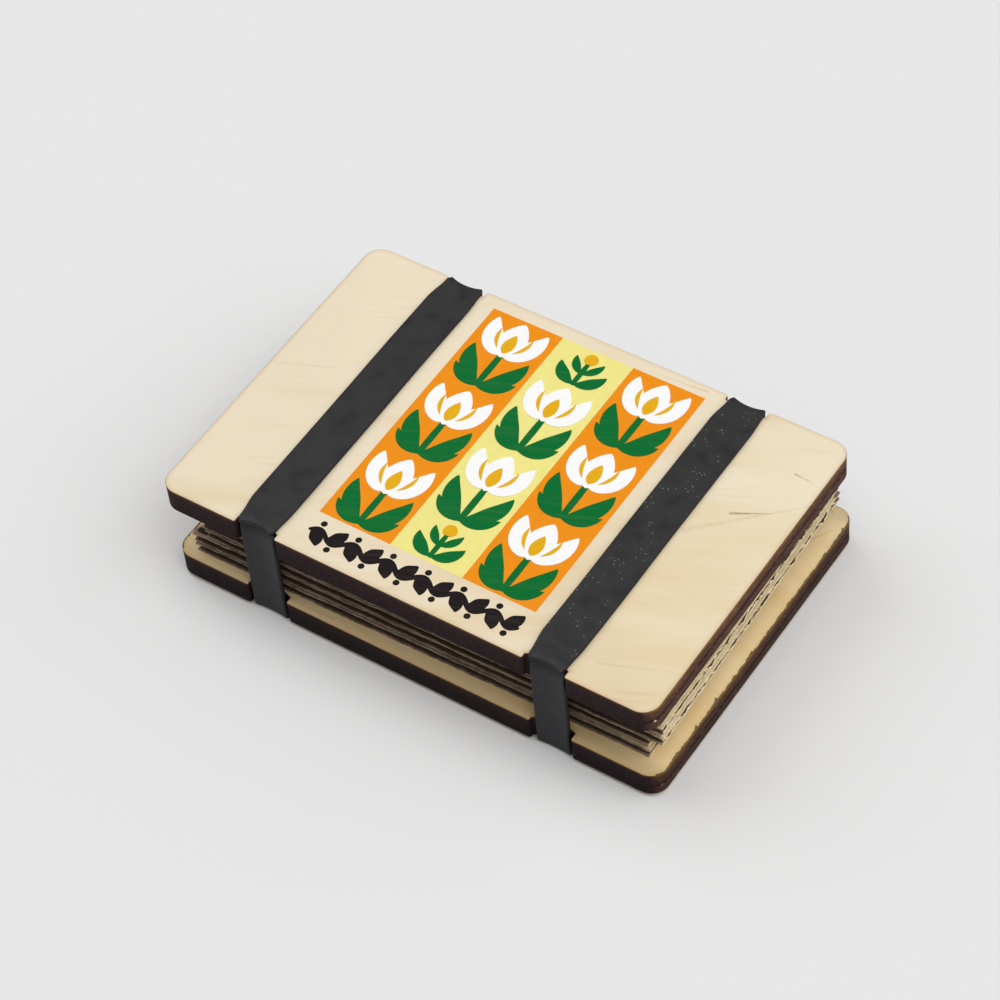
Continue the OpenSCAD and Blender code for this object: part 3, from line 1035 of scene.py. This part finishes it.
def band_mesh(name, middle_x, seed, width_share, run_share, flat_x, run_x):
    """A closed band: the quarter with its lip and the quarter without, mirrored down and back, as one
    loop of sections. Towards the bottom the upright runs are flatter than the notch's ring. The point
    number crease_shade is 1 in the groove under the lip, and e to the power of minus the square of the way
    from there; it paints shade into that groove."""
    section = band_section()
    kinds, shares = quarter_path()
    at = (section[None, :, 0], section[None, :, 1], kinds[:, None], shares[:, None])
    shape = (width_share, run_share, flat_x, run_x)
    lower = band_points(*at, 0.0, *shape)[:-1][::-1] * [1, 1, -1] + [0, 0, BAND_TOP]
    half = np.concatenate([band_points(*at, 1.0, *shape), lower])
    rear = half[::-1][1:-1] * [1, -1, 1]
    loop = np.concatenate([half, rear])
    bowed = np.cos(section[:, 0] * RUN_HALF_ANGLE) - math.cos(RUN_HALF_ANGLE)
    outward = (np.abs(loop[..., 1]) - FLATTENED_FROM) / (FLATTENED_TO - FLATTENED_FROM)
    flatter = FLATTENED * ease((BAND_TOP - loop[..., 2]) / BAND_TOP) * ease(outward)
    loop[..., 1] += np.sign(loop[..., 1]) * flatter * FOLD_AXIS_RADIUS * bowed
    along, length = way_round(loop)
    loop[..., 0] += middle_x + SIDE_WANDER * wander(along, length, seed, 25.0)[:, None]
    quads = ring_quads(len(loop), len(section), wrap=True)
    mesh = make_mesh(name, loop, quads[:, ::-1])
    # Painted shade: a share that darkens the rubber in the groove under each upper lip.
    crease_shade = np.exp(-((past_fold(kinds, shares) - CREASE_SHADE_PLACE) / CREASE_SHADE_REACH) ** 2) * (kinds > 0)
    crease_shade = np.concatenate([crease_shade, np.zeros(len(lower))])
    crease_shade = np.concatenate([crease_shade, crease_shade[::-1][1:-1]])
    number_points(mesh, "crease_shade", np.repeat(crease_shade, len(section)))
    return mesh


# %% [markdown]
# Black rubber is matt, with a bloom of dust that catches in scuffs. The right band of
# this press has more white specks than the left one, so dust is a group with an amount.

# %% Rubber
DUST_GATE, DUST_GATE_DROP = 0.78, 0.26


def dust_group():
    """White specks in loose clusters: small Voronoi cells, kept where a slow noise is high."""
    tree, (place, amount), result = group(
        "Dust", {"Amount": "Float"}, {"Mask": "Float", "Film": "Float"})
    cluster = noise(place, 210.0, 2.0)
    speck = ramp(put(tree, "TexVoronoi", {"Vector": place, "Scale": 1300.0}), 0.10, 0.22, 1.0, 0.0)
    gate = ramp(cluster - (DUST_GATE - amount * DUST_GATE_DROP), 0.0, 0.08)
    feed(result, {"Mask": speck * gate, "Film": cluster})
    return tree


dust = dust_group()
RUBBER_COLOR = screen(26, 25, 31)
RUBBER_WORN_COLOR = screen(30, 29, 35)
RUBBER_FILM_COLOR = screen(42, 42, 41)
DUST_COLOR = screen(168, 168, 164)
# Near-black colour of the painted shade in the groove under each upper fold.
CREASE_SHADE_COLOR = screen(4, 4, 5)


def rubber(name, amount):
    """Matt black rubber with a film and specks of dust, and painted shade in the groove under each upper
    fold.
    """
    made, shader, place = material(name)
    specks, bloom = use(dust, place, Amount=amount)
    upward = facing(place)[2]
    color = mix(ramp(bloom, 0.35, 0.65), RUBBER_COLOR, RUBBER_WORN_COLOR)
    color = mix(ramp(bloom + ramp(upward, 0.2, 0.9, 0.0, 0.4), 0.60, 1.0), color, RUBBER_FILM_COLOR)
    color = mix(specks * ramp(upward, 0.5, 0.9, 0.0, 0.6), color, DUST_COLOR)
    # Painted shade: the groove under each upper fold is darkened nearly to black.
    crease_shade = put(place.tree, "Attribute", output="Fac", attribute_name="crease_shade")
    color = mix(ramp(crease_shade, 0.0, 1.0, 0.0, 0.9), color, CREASE_SHADE_COLOR)
    grit = noise(place, 3000.0, 3.0)
    roughness = ramp(grit, 0.3, 0.7, 0.46, 0.60)
    dress(shader, color, grit, roughness, specular=0.32, relief_mm=0.02, strength=0.5)
    return made


for side, middle_x, seed, dust_amount, shape in (
        ("left", -NOTCH_X, 21, 0.35, (1.0, 0.93, -0.55, -0.30)),
        ("right", NOTCH_X, 22, 1.0, (0.96, 0.89, -0.70, -0.50))):
    mesh = band_mesh("rubber_band_" + side, middle_x, seed, *shape)
    band = make_piece(mesh, rubber("rubber_" + side, dust_amount), None, sharp_degrees=32.0)
    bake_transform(band)
    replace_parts(band, "band_" + side)
    print(band.name, "faces:", len(mesh.polygons))

# %% [markdown]
# The print is ink on the wood. Screen inks are flat, clean shapes, so each is a thin
# plate, none higher than a quarter of a millimetre. One shape makes nearly all of them:
# a ribbon, which is a middle line with a width that swells and tapers. A ribbon along a
# parabola is a blade, and blades make the stems, leaves and petals of a folk tulip.

# %% Ink shapes
INK_FLOOR = board_high[2]
INK_BASE, INK_STEP = 0.02, 0.002


def ribbon(middle, half):
    """Outline of a ribbon: its middle line with half its width on each side. Half is zero at both ends."""
    slope = np.gradient(middle, axis=0)
    across = np.stack([-slope[:, 1], slope[:, 0]], 1) / np.linalg.norm(slope, axis=1)[:, None]
    left, right = middle + across * half[:, None], middle - across * half[:, None]
    return np.concatenate([right, left[-2:0:-1]])


def blade(root, tip, width, bend=0.0, fullness=0.8, belly=0.5):
    """Outline of a blade: a parabola from root to tip that bows by bend, with half the width times
    sin(pi * t ** power) ** fullness on each side, where the power puts the widest place at belly."""
    t = np.linspace(0, 1, 33)
    root, tip = np.array(root, float), np.array(tip, float)
    ahead = tip - root
    sideways = np.array([-ahead[1], ahead[0]]) / np.linalg.norm(ahead)
    middle = root + t[:, None] * ahead + (4 * t * (1 - t))[:, None] * bend * sideways
    power = math.log(0.5) / math.log(belly)
    return ribbon(middle, width / 2 * np.sin(np.pi * t ** power) ** fullness)


def stem(root, tip, width, bend=0.0):
    """A blade of nearly even width."""
    return blade(root, tip, width, bend, 0.18)


def film(outlines, first_layer):
    """Thin closed plates, each one small step higher than the last, so that no two share a plane."""
    tops = INK_FLOOR + INK_BASE + np.arange(first_layer, first_layer + len(outlines)) * INK_STEP
    return [
        plate_rings(points + [TOP_MIDDLE_X, 0], 0, [(0, INK_FLOOR), (0, top)])
        for points, top in zip(outlines, tops)]


def rectangle(left, right, front, back):
    """Corners of a rectangle, counter-clockwise."""
    return np.array([(left, front), (right, front), (right, back), (left, back)], float)


def berry(x, y, radius):
    """A round dot."""
    angle = np.linspace(0, 2 * np.pi, 24, endpoint=False)
    return np.stack([x + radius * np.cos(angle), y + radius * np.sin(angle)], 1)


def mirrored(outlines):
    """The outlines and their mirror images about X = 0, turned the right way round again."""
    return [*outlines, *[(p * [-1, 1])[::-1] for p in outlines]]


# %% [markdown]
# Broad stripes like those of an awning fill the panel. Folk tulips stand on them in
# rows, and the middle column is set half a row higher, as on printed cloth. Below the
# panel a vine winds along the board, with a leaf in each bend and a berry on each crest.

# %% Print layout
PANEL_LEFT, PANEL_RIGHT = -26.5, 26.4
PANEL_FRONT, PANEL_BACK = -29.0, 36.7
STRIPE_COUNT = 3
TULIP_PITCH = 21.9
FOOT_MARGIN = 1.0
edges = np.linspace(PANEL_LEFT, PANEL_RIGHT, STRIPE_COUNT + 1)
columns = (edges[1:] + edges[:-1]) / 2
stripes = [rectangle(a, b, PANEL_FRONT, PANEL_BACK) for a, b in zip(edges, edges[1:])]
tulip_green = [stem((0, 0), (0, 11), 1.6)] + mirrored([
    blade((0, 0.6), (6.8, 10.6), 4.0, -1.7), blade((0, 0.2), (7.6, 4.2), 2.6, -1.0)])
tulip_white = mirrored([blade((0.7, 9.8), (6.2, 19.4), 4.8, -1.3, 0.75, 0.42)])
tulip_white.append(blade((0, 9.4), (0, 20.0), 6.4, 0.0, 0.75, 0.48))
tulip_amber = [blade((0, 10.6), (0, 16.4), 2.8, belly=0.42)] + mirrored([
    blade((1.9, 11.4), (3.9, 17.0), 0.9, -0.7)])
sprig_green = [stem((0, 0), (0, 7.0), 1.2)] + mirrored([
    blade((0, 0.4), (5.6, 5.2), 2.9, -1.0), blade((0, 3.6), (3.4, 8.0), 1.9, -0.6)])
sprig_amber = [berry(0, 8.0, 1.5)]

first_foot = PANEL_FRONT + FOOT_MARGIN
tulip_feet = [(columns[k], first_foot + TULIP_PITCH * row) for k in (0, 2) for row in range(3)]
tulip_feet += [(columns[1], first_foot + TULIP_PITCH * (row + 0.5)) for row in range(2)]
sprig_feet = [(columns[1], first_foot), (columns[1], first_foot + TULIP_PITCH * 2.5 - 0.7)]
green_shapes = [p + foot for foot in tulip_feet for p in tulip_green]
green_shapes += [p + foot for foot in sprig_feet for p in sprig_green]
white_shapes = [p + foot for foot in tulip_feet for p in tulip_white]
amber_shapes = [p + foot for foot in tulip_feet for p in tulip_amber]
amber_shapes += [p + foot for foot in sprig_feet for p in sprig_amber]

VINE_Y = -34.0
VINE_HALF_LENGTH, VINE_HALF_WIDTH = 25.8, 0.62
VINE_PITCH, VINE_SWING = 8.6, 1.2
t = np.linspace(0, 1, 361)
vine_x = VINE_HALF_LENGTH * (2 * t - 1)
vine_line = np.stack([vine_x, VINE_Y + VINE_SWING * np.sin(2 * np.pi * vine_x / VINE_PITCH)], 1)
border = [ribbon(vine_line, VINE_HALF_WIDTH * np.sin(np.pi * t) ** 0.12)]
for number in range(-6, 6):
    crest_x, side = (number + 0.5) * VINE_PITCH / 2, (1, -1)[number % 2]
    root = (crest_x - 1.7, VINE_Y + side * 0.6)
    border.append(blade(root, (crest_x + 1.6, VINE_Y - side * 3.1), 3.0, side * 0.6, 0.75))
    border.append(berry(crest_x, VINE_Y + side * 2.7, 0.72))
print("ink shapes:", len(stripes) + len(white_shapes) + len(amber_shapes) + len(green_shapes) + len(border))

# %% [markdown]
# Ink on bare wood isn't a perfect flat colour. It is a little thinner over the open
# grain, so all the inks share a group that lets some of the grain through.

# %% Inks
INK_WEAR = 0.02
INK_COLORS = {
    "orange": screen(243, 146, 19), "yellow": screen(244, 233, 140), "white": screen(253, 253, 252),
    "green": screen(0, 110, 48), "amber": screen(233, 176, 22), "black": screen(30, 23, 25)}


def ink_group():
    """An ink colour with faint wood grain and mottle in it, and the grain's height."""
    tree, (place, pure, wear), result = group(
        "Ink on wood", {"Ink": "Color", "Wear": "Float"}, {"Color": "Color", "Height": "Float"})
    _, lines, _ = use(birch_grain, place, Turn=math.radians(TOP_GRAIN_TURN))
    mottle = noise(place, 700.0, 4.0)
    color = mix(ramp(lines, 0.45, 0.75) * wear, pure, FACE_WARM_COLOR)
    color = mix(ramp(mottle, 0.3, 0.7, 0.0, 0.04), color, screen(0, 0, 0))
    feed(result, {"Color": color, "Height": lines})
    return tree


ink_on_wood = ink_group()


def ink(name):
    """One ink of the print."""
    made, shader, place = material("ink_" + name)
    color, height = use(ink_on_wood, place, Ink=INK_COLORS[name], Wear=INK_WEAR)
    dress(shader, color, height, roughness=0.6, specular=0.1, relief_mm=0.02, strength=0.3)
    return made


for name, shapes, layer in (
        ("orange", stripes[0::2], 0), ("yellow", stripes[1::2], 0), ("green", green_shapes, 2),
        ("white", white_shapes, 54), ("amber", amber_shapes, 80), ("black", border, 0)):
    make_piece(joined_mesh("print_" + name, film(shapes, layer)), ink(name), "lid")

# %% [markdown]
# The floor is a plain pale sheet and the light is soft daylight from all round, a
# little stronger from the back. Sun lamps with a wide angle give soft shadows and the
# same level everywhere on the floor.

# %% Floor and light
FLOOR_COLOR = screen(232, 232, 232)
FLOOR_REACH = 3000.0
SUN_SPREAD = 50.0
SKY_STRENGTH = 0.15
SUNS = {
    "window_front_right": (45, 70, 0.43), "window_right_low": (90, 45, 0.65),
    "window_right_high": (90, 70, 0.73), "window_back_right": (135, 20, 0.49),
    "window_back_left": (225, 70, 0.44), "window_left": (270, 45, 0.75)}


def make_floor():
    """A large pale sheet at the height of the bands' undersides."""
    made, shader, _ = material("floor")
    feed(shader, {"Base Color": FLOOR_COLOR, "Roughness": 0.9, "Specular IOR Level": 0.1})
    corners = rectangle(-FLOOR_REACH, FLOOR_REACH, -FLOOR_REACH, FLOOR_REACH)
    mesh = make_mesh("floor", np.pad(corners, ((0, 0), (0, 1))), np.array([[0, 1, 2, 3]]))
    mesh.materials.append(made)
    add_object("floor", mesh)


def make_sun(name, azimuth, elevation, strength):
    """A soft light that shines from an azimuth and elevation."""
    lamp = bpy.data.lights.new(name, "SUN")
    lamp.energy, lamp.angle = strength, math.radians(SUN_SPREAD)
    toward = compass(azimuth, elevation).to_track_quat("Z", "Y")
    add_object(name, lamp).rotation_euler = toward.to_euler()


make_floor()
world = bpy.data.worlds.new("world")
bpy.context.scene.world = world
world.use_nodes = True
feed(world.node_tree.nodes["Background"], {"Color": (1, 1, 1, 1), "Strength": SKY_STRENGTH})
for name, values in SUNS.items():
    make_sun(name, *values)
print("lamps:", len(SUNS))
bpy.context.scene.view_settings.view_transform = "Standard"
